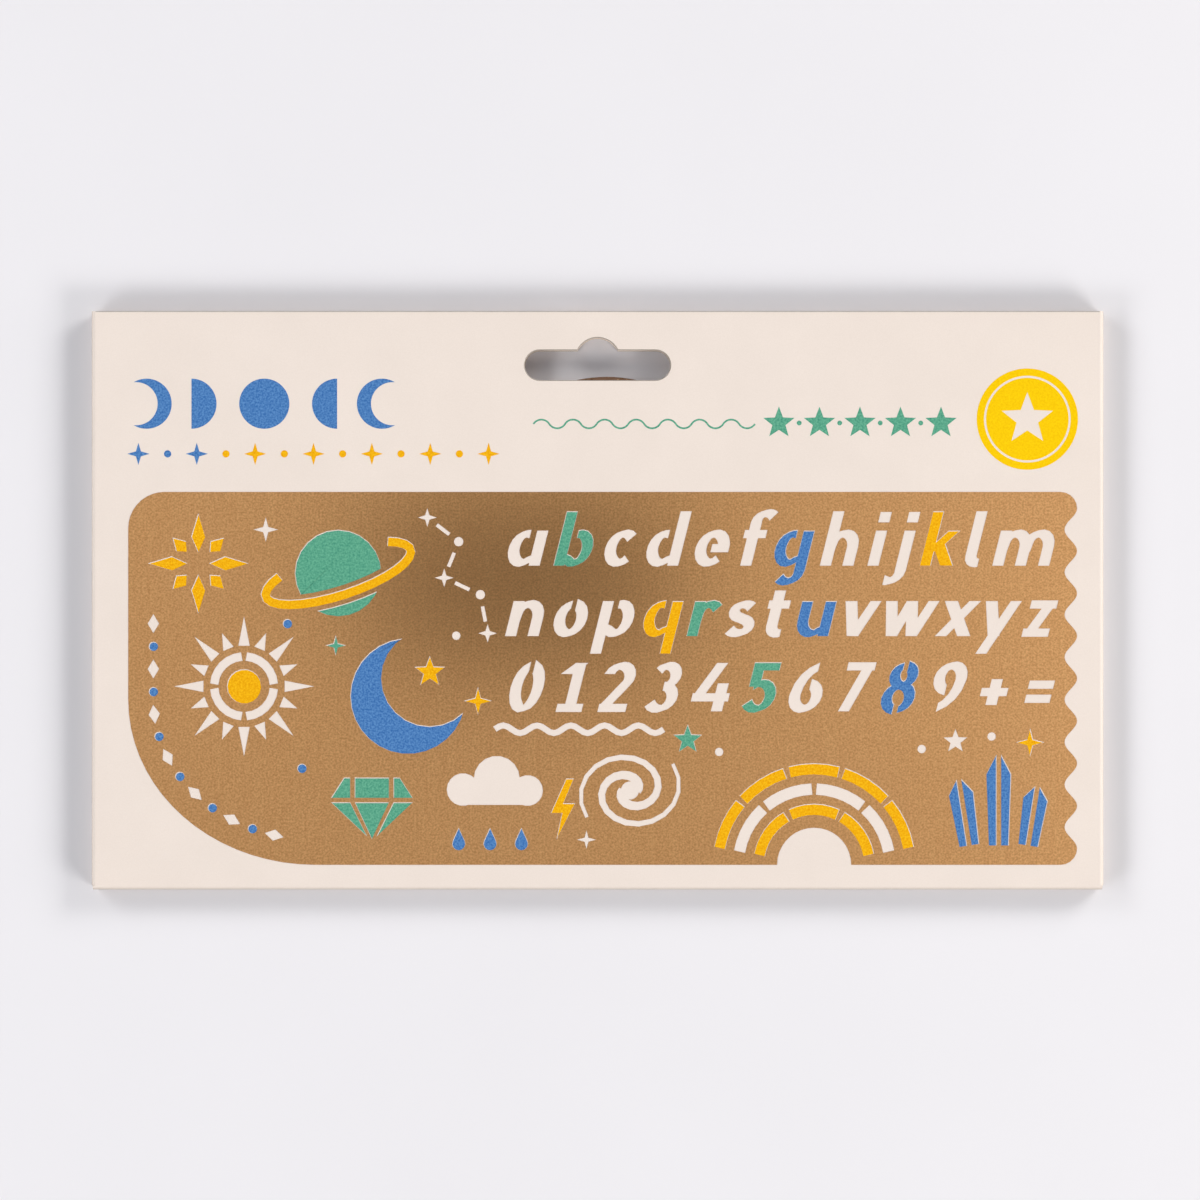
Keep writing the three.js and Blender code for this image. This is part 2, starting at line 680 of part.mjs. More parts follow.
// The front panel's sides turn down and under as flaps, which are glued to the back panel.
function addSide(name, side) {
  const section = foldSection(flapBottom, packDepth, spineRadius, cardThickness);
  const turned = section.map((p) => point(side * (packWidth / 2 - p.x), p.y));
  const fold = add(`${name}_fold`, extrude(turned, packTop - panelFoot), card, 0, packTop, 0);
  fold.rotation.x = Math.PI / 2;

  const outer = panelSide;
  const inner = packWidth / 2 - flapDepth;
  const flap = [
    point(side * outer, panelFoot),
    point(side * inner, panelFoot + flapTaper),
    point(side * inner, packTop - flapTaper),
    point(side * outer, packTop),
  ];
  add(`${name}_glue_flap`, extrude(flap, cardThickness), card, 0, 0, flapBottom);

  const end = glueWidth / 2;
  const reach = packHeight / 2 - glueEndMargin;
  const bead = [...arc(0, reach, end, end, 0, 180), ...arc(0, -reach, end, end, 180, 360)];
  const middle = side * ((outer + inner) / 2);
  add(`${name}_glue_line`, extrude(bead, glueThickness), glue, middle, 0, cardThickness);
}

// Folds that run along X: the section's opening is turned to face up the pack.
function addCrossFold(name, section, length, foot, material) {
  const along = new THREE.Matrix4().makeBasis(
    new THREE.Vector3(0, 1, 0),
    new THREE.Vector3(0, 0, 1),
    new THREE.Vector3(1, 0, 0),
  );
  const geometry = extrude(section, length).applyMatrix4(along);
  add(name, geometry, material, -length / 2, foot, 0);
}

function addCarrier() {
  add('carrier_card', extrude(carrierOutline(), kraftThickness), kraft, 0, 0, carrierBottom);
  const section = foldSection(carrierBottom, lipTop, carrierFoldRadius, kraftThickness);
  addCrossFold('carrier_fold', section, 2 * carrierSide, carrierFoot, kraft);
  const lip = [
    point(-carrierSide, kraftFoot),
    point(carrierSide, kraftFoot),
    point(carrierSide - lipTaper, carrierFoot + lipHeight),
    point(-carrierSide + lipTaper, carrierFoot + lipHeight),
  ];
  add('carrier_lip', extrude(lip, kraftThickness), kraft, 0, 0, lipBottom);
}

const cutOuts = joined([...rows.flatMap(letterRow), ...motifs]);

// A sheet with the stencil's edge and cut-outs.
function pierced(thickness) {
  return geometryOf(solidOf(extrude(sheetOutline(), thickness)).subtract(cutOuts));
}

function addStencil() {
  const sheet = pierced(stencilThickness);
  add('stencil_sheet', sheet, brass, -stencilWidth / 2, kraftFoot, stencilBottom);
}

// The foil is a picture of the stencil, at its real size.
function addFoil() {
  const left = -packWidth / 2 + foilLeftMargin;
  const film = pierced(foilThickness);
  add('foil_print', film, foil, left, packFoot + foilBottomMargin, packDepth);
}

addPanels();
addSide('left', -1);
addSide('right', 1);
const bottomSection = foldSection(0, packDepth, spineRadius, cardThickness);
addCrossFold('bottom_fold', bottomSection, 2 * backSide, packFoot, card);
addCarrier();
addStencil();
addFoil();

export default pack;
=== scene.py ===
# Looks of a card pack that holds a brass drawing stencil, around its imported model.
# The pack lies on its back: X is its width, Y runs up to the hang slot, Z points at the camera.
import json
import math

import bpy
from mathutils import Euler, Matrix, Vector


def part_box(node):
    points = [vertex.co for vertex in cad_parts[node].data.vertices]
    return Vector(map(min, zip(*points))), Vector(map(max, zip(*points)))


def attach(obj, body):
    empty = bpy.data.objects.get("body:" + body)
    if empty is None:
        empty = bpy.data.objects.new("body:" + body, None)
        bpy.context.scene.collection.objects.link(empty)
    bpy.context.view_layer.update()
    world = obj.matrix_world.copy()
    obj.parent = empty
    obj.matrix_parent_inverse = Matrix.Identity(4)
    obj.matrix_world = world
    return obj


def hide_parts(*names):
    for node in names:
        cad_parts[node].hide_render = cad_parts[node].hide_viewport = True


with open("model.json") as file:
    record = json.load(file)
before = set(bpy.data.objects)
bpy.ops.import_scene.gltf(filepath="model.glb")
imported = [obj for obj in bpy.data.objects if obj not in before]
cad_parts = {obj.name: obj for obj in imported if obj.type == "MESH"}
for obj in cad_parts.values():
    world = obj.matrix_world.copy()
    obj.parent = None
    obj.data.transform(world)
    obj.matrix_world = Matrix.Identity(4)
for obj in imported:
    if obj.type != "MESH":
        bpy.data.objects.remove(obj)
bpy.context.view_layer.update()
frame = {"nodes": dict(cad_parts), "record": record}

MM = 0.001
SAME_PLACE = 0.001 * MM  # vertices nearer than this are one

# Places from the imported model
foil_low, foil_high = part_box("foil_print")
card_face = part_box("front_panel")[1].z
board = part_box("back_panel")[1].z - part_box("back_panel")[0].z  # thickness of the wallet's board

# Board
CREASE_STEPS = 10  # faces round each quarter turn
CUT_EDGE = 0.18 * MM  # how far in from a cut the die has pressed the board down

# Inks
INK_THICKNESS = 0.012 * MM
INK_CHOKE = 0.1 * MM  # how much smaller an ink is printed than its cut-out in the foil
INK_SHIFT = (0, -0.08 * MM)  # how far the inks are off the foil
INK_SHRINK = 0.9991  # the printed sheet had shrunk sideways before the foil was stamped
ROUND_CORNERS = 12  # a cut-out with so many corners is a dot

# Which ink fills which cut-outs, by a place on the stencil in millimetres from its lower left
# corner: x, y, and from how near to how far the middles of those cut-outs lie. Others stay bare.
INKED_PLACES = {
    "yellow": [
        (14.5, 62.5, 0, 7),  # compass
        (24, 37, 0, 1),  # sun's disc
        (43.9, 59.3, 0, 1),  # planet's ring
        (62.5, 40, 0, 1),  # star in the crescent
        (72.5, 34, 0, 1),  # sparkle beside it
        (90.2, 11.7, 0, 1),  # bolt
        (142.2, 0, 10, 12),  # rainbow's inner arc
        (142.2, 0, 18.5, 21),  # rainbow's outer arc
        (187, 25.4, 0, 1),  # sparkle over the crystals
        (168.3, 66.4, 0, 1),  # k
        (110, 50.5, 0, 1),  # q
    ],
    "green": [
        (42.5, 62.7, 0, 1),  # planet's upper part
        (46.1, 53.7, 0, 1),  # planet's lower part
        (50.5, 12.5, 0, 8),  # gem
        (116, 26, 0, 1),  # star over the galaxy
        (43, 45.5, 0, 1),  # sparkle over the crescent
        (93.2, 65.6, 0, 1),  # b
        (120.1, 52.9, 0, 1),  # r
        (131, 36, 0, 1),  # 5
    ],
    "blue": [
        (55.9, 33.6, 0, 1),  # crescent
        (180.5, 11, 0, 9.5),  # crystals
        (75, 4.3, 0, 7),  # drops
        (33, 50.1, 0, 1),  # dot over the sun
        (36, 20, 0, 1),  # dot under the sun
        (137, 63.5, 0, 1),  # g
        (141.9, 49.9, 0, 1),  # u
        (160.1, 36.9, 0, 1),  # 8
    ],
}

# The border runs round a corner of the stencil, so far from the corner's middle and no higher
# than its top. Its dots are blue.
BORDER_MIDDLE = (38.8, 34.2)
BORDER_REACH = (28, 37)
BORDER_TOP = 50

# Header ornaments, in millimetres from the middle of the pack
MOON_ROW = {"middle": -69.1, "y": 40.8, "radius": 5.2, "half": -15.1, "crescent": -24.4}
MOON_BITE = {"shift": 0.42, "radius": 0.86}  # what the crescent lacks, in radii of the moon
MARK_ROW = {"left": -95.2, "y": 30.4, "pitch": 6.05, "sparkle": 2.3, "dot": 0.75}
WAVE = {"left": -13.3, "y": 36.6, "rise": 0.9, "length": 6.56, "count": 7, "width": 0.36}
STAR_ROW = {"left": 37.6, "y": 36.8, "pitch": 8.4, "count": 5, "radius": 3.4, "dot": 0.5}
SEAL = {"x": 89.1, "y": 37.6, "radius": 10.5, "line": 0.45, "line_inset": 1.5, "star": 5.6}
STAR_WAIST = 0.42  # radius of a star's inner corners, as a share of its radius
SPARKLE_WAIST = 0.32
DOT_CORNERS = 24
DISC_CORNERS = 64
SEAL_CORNERS = 96
WAVE_STEPS = 8  # faces from the top of a wave to where it turns the other way

# Materials
MIDDLE_HALF = {"From Min": 0.3, "From Max": 0.7}  # where nearly all of a noise's values lie
STUDIO_WHITE = "F4F4FA"

# Camera and studio, in metres. The lens and the sensor are in millimetres.
VIEW_WIDTH = 0.2488  # what the frame takes in, at the card's face
VIEW_MIDDLE = (0.0005, 0.0001)
LENS = 85
SENSOR = 36
FLOOR_SIZE = 8
SOFTBOX = {"distance": 1.6, "size": (0.8, 0.35)}
ROOM_GLOW = 0.19

# Cards that the metals mirror. The sky card's second glow is that of its bright fields.
SKY_CARD = {"place": (0, 0, 0.9), "size": (12, 12), "glow": (0.82, 1.5)}
SIDE_CARD = {"place": (0.62, 0, 0.88), "size": (0.7, 1.2), "glow": (1.24,)}
FRONT_CARD = {"place": (-0.16, -0.49, 0.87), "size": (0.86, 0.66), "glow": (0.58,)}
FLAG = {"place": (-0.0205, 0.0062, 0.17), "size": (0.082, 0.045), "glow": (0.06,)}
SKY_FIELDS = 6
FIELDS_START = {"From Min": 1.2, "From Max": 1.5}  # how far from the pack they fade in


# Modelling

def only(piece):
    """Selects one piece alone and makes it active."""
    bpy.ops.object.select_all(action="DESELECT")
    piece.select_set(True)
    bpy.context.view_layer.objects.active = piece


def edit(piece):
    """Opens one piece for editing, with all of it selected."""
    only(piece)
    bpy.ops.object.mode_set(mode="EDIT")
    bpy.ops.mesh.select_all(action="SELECT")


def close_edit():
    bpy.ops.object.mode_set(mode="OBJECT")


def pick(piece, kind, wanted):
    """In edit mode, selects the vertices or faces for which wanted is true."""
    bpy.ops.mesh.select_mode(type=kind)
    bpy.ops.mesh.select_all(action="DESELECT")
    bpy.ops.object.mode_set(mode="OBJECT")
    parts = {"VERT": piece.data.vertices, "FACE": piece.data.polygons}[kind]
    for part in parts:
        part.select = wanted(part)
    bpy.ops.object.mode_set(mode="EDIT")


def keep_edges(piece, wanted):
    """In edit mode, keeps only those of the selected edges whose middle is wanted."""
    bpy.ops.mesh.select_mode(type="EDGE")
    bpy.ops.object.mode_set(mode="OBJECT")
    places = [vertex.co for vertex in piece.data.vertices]
    chosen = [edge.select for edge in piece.data.edges]
    bpy.ops.object.mode_set(mode="EDIT")
    bpy.ops.mesh.select_all(action="DESELECT")
    bpy.ops.object.mode_set(mode="OBJECT")
    for edge, was_chosen in zip(piece.data.edges, chosen):
        start, end = (places[i] for i in edge.vertices)
        edge.select = was_chosen and wanted((start + end) / 2)
    bpy.ops.object.mode_set(mode="EDIT")


def copy_of(source, name):
    piece = source.copy()
    piece.data = source.data.copy()
    piece.name = name
    piece.parent = None
    for key in list(piece.keys()):
        del piece[key]
    bpy.context.scene.collection.objects.link(piece)
    return piece


def settled(name):
    """Names the active piece and puts its place into its mesh."""
    piece = bpy.context.object
    piece.name = name
    bpy.ops.object.transform_apply(location=True, rotation=True, scale=True)
    return piece


def joined(name, pieces):
    only(pieces[0])
    for piece in pieces:
        piece.select_set(True)
    bpy.ops.object.join()
    return settled(name)


def with_modifier(piece, kind, **settings):
    """Gives a piece a modifier and applies it."""
    only(piece)
    modifier = piece.modifiers.new(kind.lower(), kind)
    for name, value in settings.items():
        setattr(modifier, name, value)
    bpy.ops.object.modifier_apply(modifier=modifier.name)
    return piece


def repeated(piece, count, pitch):
    """A row of copies of one piece, all in its mesh."""
    step = (pitch * MM, 0, 0)
    return with_modifier(
        piece,
        "ARRAY",
        count=count,
        use_relative_offset=False,
        use_constant_offset=True,
        constant_offset_displace=step,
    )


def cut_from(piece, tool):
    """Cuts one solid by another, which is used up."""
    with_modifier(piece, "BOOLEAN", operation="DIFFERENCE", solver="EXACT", object=tool)
    bpy.data.objects.remove(tool)
    return piece


def finished(piece, material, body="wallet"):
    """Gives a new piece its material and puts it on a body of the model."""
    piece.data.materials.clear()
    piece.data.materials.append(material)
    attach(piece, body)
    return piece


# Flat shapes on the card's face, which become films of ink

def on_card(x, y):
    return (x * MM, y * MM, card_face)


def disc(x, y, radius, vertices=DISC_CORNERS):
    bpy.ops.mesh.primitive_circle_add(
        vertices=vertices, radius=radius * MM, fill_type="NGON", location=on_card(x, y)
    )
    return settled("disc")


def star(x, y, radius, tips, waist):
    """A star with its first tip up. waist is the radius of its inner corners, as a share."""
    bpy.ops.mesh.primitive_circle_add(
        vertices=2 * tips, radius=radius * MM, fill_type="NGON", location=on_card(x, y)
    )
    piece = settled("star")
    edit(piece)
    pick(piece, "VERT", lambda vertex: vertex.index % 2 == 1)
    bpy.ops.transform.resize(value=(waist, waist, 1), center_override=on_card(x, y))
    close_edit()
    return piece


def raised(piece, height=INK_THICKNESS):
    """Gives flat faces a thickness, upwards."""
    edit(piece)
    bpy.ops.mesh.extrude_region_move(TRANSFORM_OT_translate={"value": (0, 0, height)})
    bpy.ops.mesh.select_all(action="SELECT")
    bpy.ops.mesh.normals_make_consistent(inside=False)
    close_edit()
    bpy.ops.object.shade_flat()
    return piece


def cutter(piece, height=1):
    """Thickens a flat shape both ways so that it cuts right through a film of ink."""
    reach = height * INK_THICKNESS
    edit(piece)
    bpy.ops.transform.translate(value=(0, 0, -reach))
    close_edit()
    return raised(piece, 2 * reach + INK_THICKNESS)


# Inks in the foil's cut-outs

def cut_out_faces():
    """One flat face for each cut-out in the foil, at the height of the card's face."""
    piece = copy_of(frame["nodes"]["foil_print"], "cut_outs")
    edit(piece)
    bpy.ops.mesh.customdata_custom_splitnormals_clear()
    bpy.ops.mesh.remove_doubles(threshold=SAME_PLACE)
    pick(piece, "FACE", lambda face: abs(face.normal.z) > 0.5 or face.area == 0)
    bpy.ops.mesh.delete(type="FACE")
    close_edit()
    walls = len(piece.data.polygons)
    edit(piece)
    bpy.ops.mesh.fill_holes(sides=0)
    middle = (foil_low.z + foil_high.z) / 2
    half = (foil_high.x - foil_low.x) * (foil_high.y - foil_low.y) / 2
    pick(
        piece,
        "FACE",
        lambda face: face.index < walls or face.center.z > middle or face.area > half,
    )
    bpy.ops.mesh.delete(type="FACE")
    close_edit()
    return piece


def ink_of(face):
    """The ink that fills a cut-out, or None."""
    x = (face.center.x - foil_low.x) / MM
    y = (face.center.y - foil_low.y) / MM
    for ink, places in INKED_PLACES.items():
        for px, py, nearest, furthest in places:
            if nearest <= math.hypot(x - px, y - py) < furthest:
                return ink
    from_middle = math.hypot(x - BORDER_MIDDLE[0], y - BORDER_MIDDLE[1])
    in_border = BORDER_REACH[0] < from_middle < BORDER_REACH[1]
    in_corner = x < BORDER_MIDDLE[0] and y < BORDER_TOP
    dot = len(face.vertices) == ROUND_CORNERS
    return "blue" if in_border and in_corner and dot else None


def print_ink(ink, faces, material):
    """One ink in all its cut-outs, a little too small and off its place, as it was printed."""
    piece = copy_of(faces, f"{ink}_ink")
    edit(piece)
    pick(piece, "FACE", lambda face: ink_of(face) != ink)
    bpy.ops.mesh.delete(type="FACE")
    bpy.ops.mesh.select_all(action="SELECT")
    bpy.ops.mesh.inset(thickness=INK_CHOKE, use_individual=True, use_even_offset=True)
    bpy.ops.mesh.select_all(action="INVERT")
    bpy.ops.mesh.delete(type="FACE")
    bpy.ops.mesh.select_all(action="SELECT")
    bpy.ops.transform.translate(value=(*INK_SHIFT, 0))
    bpy.ops.transform.resize(value=(INK_SHRINK, 1, 1), center_override=on_card(0, 0))
    close_edit()
    return finished(raised(piece), material)


# Header ornaments

def moon_row(material):
    """Five phases of the moon. The right side is the left side, mirrored."""
    middle, y, radius = MOON_ROW["middle"], MOON_ROW["y"], MOON_ROW["radius"]
    half = disc(middle + MOON_ROW["half"], y, radius)
    edit(half)
    plane = on_card(middle + MOON_ROW["half"], y)
    bpy.ops.mesh.bisect(plane_co=plane, plane_no=(1, 0, 0), clear_inner=True)
    close_edit()
    at = middle + MOON_ROW["crescent"]
    crescent = raised(disc(at, y, radius))
    bite = disc(at - MOON_BITE["shift"] * radius, y, MOON_BITE["radius"] * radius)
    cut_from(crescent, cutter(bite))
    side = joined("moon_side", [raised(half), crescent])
    edit(side)
    bpy.ops.mesh.duplicate()
    bpy.ops.transform.resize(value=(-1, 1, 1), center_override=on_card(middle, y))
    bpy.ops.mesh.select_all(action="SELECT")
    bpy.ops.mesh.normals_make_consistent(inside=False)
    close_edit()
    full = raised(disc(middle, y, radius))
    return finished(joined("moon_row", [full, side]), material)


def mark_row(name, first_sparkle, sparkles, first_dot, dots, material):
    """Sparkles and dots by turns. Each row starts so many pitches from the line's left end."""
    left, y, pitch = MARK_ROW["left"], MARK_ROW["y"], MARK_ROW["pitch"]
    sparkle = star(left + first_sparkle * pitch, y, MARK_ROW["sparkle"], 4, SPARKLE_WAIST)
    sparkle = raised(sparkle)
    dot = raised(disc(left + first_dot * pitch, y, MARK_ROW["dot"], DOT_CORNERS))
    rows = [repeated(sparkle, sparkles, 2 * pitch), repeated(dot, dots, 2 * pitch)]
    return finished(joined(name, rows), material)


def wave_rule(material):
    """A thin line of arcs that turn up and down by turns: one edge spun, mirrored and repeated."""
    half, rise, width = WAVE["length"] / 2, WAVE["rise"], WAVE["width"]
    radius = (half**2 / 4 + rise**2) / (2 * rise)
    turn = math.asin(half / 2 / radius)
    left, y = WAVE["left"], WAVE["y"]
    first = left + half / 2
    bpy.ops.mesh.primitive_plane_add(size=width * MM, location=on_card(first, y + rise))
    crest = settled("crest")
    edit(crest)
    pick(crest, "VERT", lambda vertex: vertex.co.x > first * MM)
    bpy.ops.mesh.delete(type="VERT")
    bpy.ops.mesh.select_all(action="SELECT")
    shift = width / 2 * MM
    bpy.ops.transform.translate(value=(shift, 0, 0))
    centre = on_card(first, y + rise - radius)
    bpy.ops.mesh.spin(steps=WAVE_STEPS, angle=turn, center=centre, axis=(0, 0, 1))
    bpy.ops.mesh.select_all(action="SELECT")
    bpy.ops.mesh.duplicate()
    bpy.ops.transform.resize(value=(-1, 1, 1), center_override=centre)
    close_edit()
    trough = copy_of(crest, "trough")
    edit(trough)
    bpy.ops.transform.resize(value=(1, -1, 1), center_override=on_card(first, y))
    bpy.ops.transform.translate(value=(half * MM, 0, 0))
    close_edit()
    rule = repeated(joined("wave_rule", [crest, trough]), WAVE["count"], WAVE["length"])
    edit(rule)
    bpy.ops.mesh.remove_doubles(threshold=2 * SAME_PLACE)
    close_edit()
    return finished(raised(rule), material)


def star_row(material):
    """Five-pointed stars with dots between them."""
    left, y, pitch, count = (STAR_ROW[key] for key in ("left", "y", "pitch", "count"))
    one = raised(star(left, y, STAR_ROW["radius"], 5, STAR_WAIST))
    dot = raised(disc(left + pitch / 2, y, STAR_ROW["dot"], DOT_CORNERS))
    rows = [repeated(one, count, pitch), repeated(dot, count - 1, pitch)]
    return finished(joined("star_row", rows), material)


def seal(material):
    """A round patch of ink with a bare ring and a bare star."""
    x, y, radius = SEAL["x"], SEAL["y"], SEAL["radius"]
    patch = raised(disc(x, y, radius, SEAL_CORNERS))
    outer = radius - SEAL["line_inset"]
    ring = cutter(disc(x, y, outer, SEAL_CORNERS))
    cut_from(ring, cutter(disc(x, y, outer - SEAL["line"], SEAL_CORNERS), 2))
    cut_from(patch, ring)
    cut_from(patch, cutter(star(x, y, SEAL["star"], 5, STAR_WAIST)))
    patch.name = "seal"
    return finished(patch, material)


# Board of the wallet

def front_board(material):
    """The front panel, with the edges rounded off where the cutting die pressed into it."""
    low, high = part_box("front_panel")
    piece = copy_of(frame["nodes"]["front_panel"], "front_board")
    edit(piece)
    bpy.ops.mesh.customdata_custom_splitnormals_clear()
    bpy.ops.mesh.remove_doubles(threshold=SAME_PLACE)
    bpy.ops.mesh.dissolve_limited(angle_limit=math.radians(1))
    pick(
        piece,
        "FACE",
        lambda face: abs(face.normal.z) < 0.5
        and face.center.y > low.y + board
        and low.x + board < face.center.x < high.x - board,
    )
    bpy.ops.mesh.region_to_loop()
    middle = (low.z + high.z) / 2
    keep_edges(piece, lambda place: place.z > middle)
    bpy.ops.mesh.bevel(offset=CUT_EDGE, segments=2)
    close_edit()
    bpy.ops.object.shade_flat()
    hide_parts("front_panel")
    return finished(piece, material)


def crease(node, turn, material):
    """The board turns down round the front panel's edge, drops, and turns back under.

    It is modelled as an edge on the left: a face as thick as the board, spun, drawn down and
    spun again. Then it is turned to its own side of the pack.
    """
    low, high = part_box(node)
    size = high - low
    length, radius = max(size.x, size.y), min(size.x, size.y)
    bpy.ops.mesh.primitive_plane_add(
        size=1, location=(radius / 2, 0, size.z - board / 2), rotation=(0, math.pi / 2, 0)
    )
    bpy.context.object.scale = (board, length, 1)
    piece = settled(node.replace("fold", "crease"))
    edit(piece)
    round_top = {"center": (radius / 2, 0, size.z - radius), "axis": (0, 1, 0)}
    bpy.ops.mesh.spin(steps=CREASE_STEPS, angle=math.pi / 2, **round_top)
    drop = (0, 0, 2 * radius - size.z)
    bpy.ops.mesh.extrude_region_move(TRANSFORM_OT_translate={"value": drop})
    round_foot = {"center": (radius / 2, 0, radius), "axis": (0, 1, 0)}
    bpy.ops.mesh.spin(steps=CREASE_STEPS, angle=math.pi / 2, **round_foot)
    bpy.ops.mesh.select_all(action="SELECT")
    bpy.ops.mesh.remove_doubles(threshold=SAME_PLACE)
    bpy.ops.mesh.normals_make_consistent(inside=False)
    close_edit()
    piece.location = ((low.x + high.x) / 2, (low.y + high.y) / 2, low.z)
    piece.rotation_euler = (0, 0, turn)
    settled(piece.name)
    bpy.ops.object.shade_smooth_by_angle(angle=math.radians(35))
    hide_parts(node)
    return finished(piece, material)


# Materials

def linear(hex_colour):
    """An sRGB hex colour as linear values."""
    values = [int(hex_colour[i : i + 2], 16) / 255 for i in (0, 2, 4)]
    return [v / 12.92 if v <= 0.04045 else ((v + 0.055) / 1.055) ** 2.4 for v in values] + [1]


def per(millimetres):
    """The scale of a pattern that repeats every so many millimetres."""
    return 1 / (millimetres * MM)


def add(tree, kind, inputs, output=0, **settings):
    """Adds a node and gives one of its outputs. An input takes a value, or an output to link."""
    node = tree.nodes.new(f"ShaderNode{kind}")
    for name, value in settings.items():
        setattr(node, name, value)
    for socket, value in inputs.items():
        if isinstance(value, bpy.types.NodeSocket):
            tree.links.new(value, node.inputs[socket])
        else:
            node.inputs[socket].default_value = value
    return node.outputs[output] if node.outputs else None


def new_material(name):
    """A material without nodes but for the coordinates that its patterns follow."""
    material = bpy.data.materials.new(name)
    material.use_nodes = True
    tree = material.node_tree
    tree.nodes.clear()
    return material, tree, add(tree, "TexCoord", {}, "Object")


def cream_board(name, creased=False):
    # Folding boxboard: pulp dyed cream, calendered and left uncoated. That makes it matt and even,
    # with a faint cloudy look. Its die-cut edges show loose grey fibres, painted darker than their
    # own tone as shade along the cut. Along a crease the face cracks into fine pale lines, and
    # where it turns down it is darkened as painted shade. Fibres are drawn coarser than real ones,
    # so that they show.
    material, tree, at = new_material(name)
    clouds = add(tree, "TexNoise", {"Vector": at, "Scale": per(12), "Detail": 3})
    clouds = add(tree, "MapRange", {"Value": clouds, **MIDDLE_HALF})
    paper = {0: clouds, 6: linear("EADDD3"), 7: linear("EDE0D6")}
    colour = add(tree, "Mix", paper, 2, data_type="RGBA")
    fibres = add(tree, "TexNoise", {"Vector": at, "Scale": per(0.3), "Detail": 3})
    share = add(tree, "MapRange", {"Value": fibres, **MIDDLE_HALF, "To Max": 0.14})
    colour = add(tree, "Mix", {0: share, 6: colour, 7: linear("D3C5B6")}, 2, data_type="RGBA")
    height = {"Height": fibres, "Strength": 0.3, "Distance": 0.008 * MM}
    normal = add(tree, "Bump", height)
    facing = add(tree, "NewGeometry", {}, "Normal" if creased else "True Normal")
    upright = add(tree, "SeparateXYZ", {"Vector": facing}, "Z")
    upright = add(tree, "Math", {0: upright}, operation="ABSOLUTE")
    if creased:
        stretched = add(tree, "Mapping", {"Vector": at, "Scale": (per(0.2), per(0.2), per(0.07))})
        cracks = add(tree, "TexNoise", {"Vector": stretched, "Scale": 1, "Detail": 3})
        # Painted shade: where the crease turns down from the face, it is darkened towards 978B80.
        share = {"Value": upright, "From Min": 0.97, "From Max": 0.4, "To Max": 0.85}
        share = add(tree, "MapRange", share)
        colour = add(tree, "Mix", {0: share, 6: colour, 7: linear("978B80")}, 2, data_type="RGBA")
        share = {"Value": cracks, "From Min": 0.55, "From Max": 0.75, "To Max": 0.3}
        share = add(tree, "MapRange", share)
        colour = add(tree, "Mix", {0: share, 6: colour, 7: linear("EDE4DA")}, 2, data_type="RGBA")
        height = {"Height": cracks, "Strength": 0.4, "Distance": 0.02 * MM, "Normal": normal}
        normal = add(tree, "Bump", height)
    else:
        is_edge = add(tree, "Math", {0: upright, 1: 0.95}, operation="LESS_THAN")
        layers = add(tree, "Mapping", {"Vector": at, "Scale": (per(0.5), per(0.5), per(0.06))})
        layers = add(tree, "TexNoise", {"Vector": layers, "Scale": 1, "Detail": 2})
        # Partly painted shade: the cut edges' own grey fibre tone, darkened further to stand for
        # the shade along the cut.
        ply_and_painted_shade = {0: layers, 6: linear("8A8076"), 7: linear("B3A99E")}
        ply_and_painted_shade = add(tree, "Mix", ply_and_painted_shade, 2, data_type="RGBA")
        colour = add(tree, "Mix", {0: is_edge, 6: colour, 7: ply_and_painted_shade}, 2, data_type="RGBA")
    finish = {"Roughness": 0.82, "Specular IOR Level": 0.3, "Base Color": colour, "Normal": normal}
    shader = add(tree, "BsdfPrincipled", finish)
    add(tree, "OutputMaterial", {"Surface": shader})
    return material


def kraft_board():
    # Unbleached kraft board: long brown fibres that lie mostly across the sheet, with dark shives
    # and pale flecks between them. It is rough and hardly shines.
    material, tree, at = new_material("kraft_board")
    clouds = add(tree, "TexNoise", {"Vector": at, "Scale": per(7), "Detail": 3})
    clouds = add(tree, "MapRange", {"Value": clouds, **MIDDLE_HALF})
    base = {0: clouds, 6: linear("876852"), 7: linear("93725B")}
    colour = add(tree, "Mix", base, 2, data_type="RGBA")
    along = add(tree, "Mapping", {"Vector": at, "Scale": (per(1.6), per(0.3), per(0.3))})
    fibres = add(tree, "TexNoise", {"Vector": along, "Scale": 1, "Detail": 4})
    share = add(tree, "MapRange", {"Value": fibres, **MIDDLE_HALF, "To Max": 0.5})
    colour = add(tree, "Mix", {0: share, 6: colour, 7: linear("6F5038")}, 2, data_type="RGBA")
    specks = add(tree, "TexNoise", {"Vector": at, "Scale": per(0.7), "Detail": 1})
    pale = add(tree, "MapRange", {"Value": specks, "From Min": 0.66, "From Max": 0.7})
    colour = add(tree, "Mix", {0: pale, 6: colour, 7: linear("BC9A75")}, 2, data_type="RGBA")
    dark = add(tree, "MapRange", {"Value": specks, "From Min": 0.32, "From Max": 0.28})
    colour = add(tree, "Mix", {0: dark, 6: colour, 7: linear("4A3424")}, 2, data_type="RGBA")
    normal = add(tree, "Bump", {"Height": fibres, "Strength": 0.4, "Distance": 0.02 * MM})
    finish = {"Roughness": 0.9, "Specular IOR Level": 0.25, "Base Color": colour, "Normal": normal}
    shader = add(tree, "BsdfPrincipled", finish)
    add(tree, "OutputMaterial", {"Surface": shader})
    return material


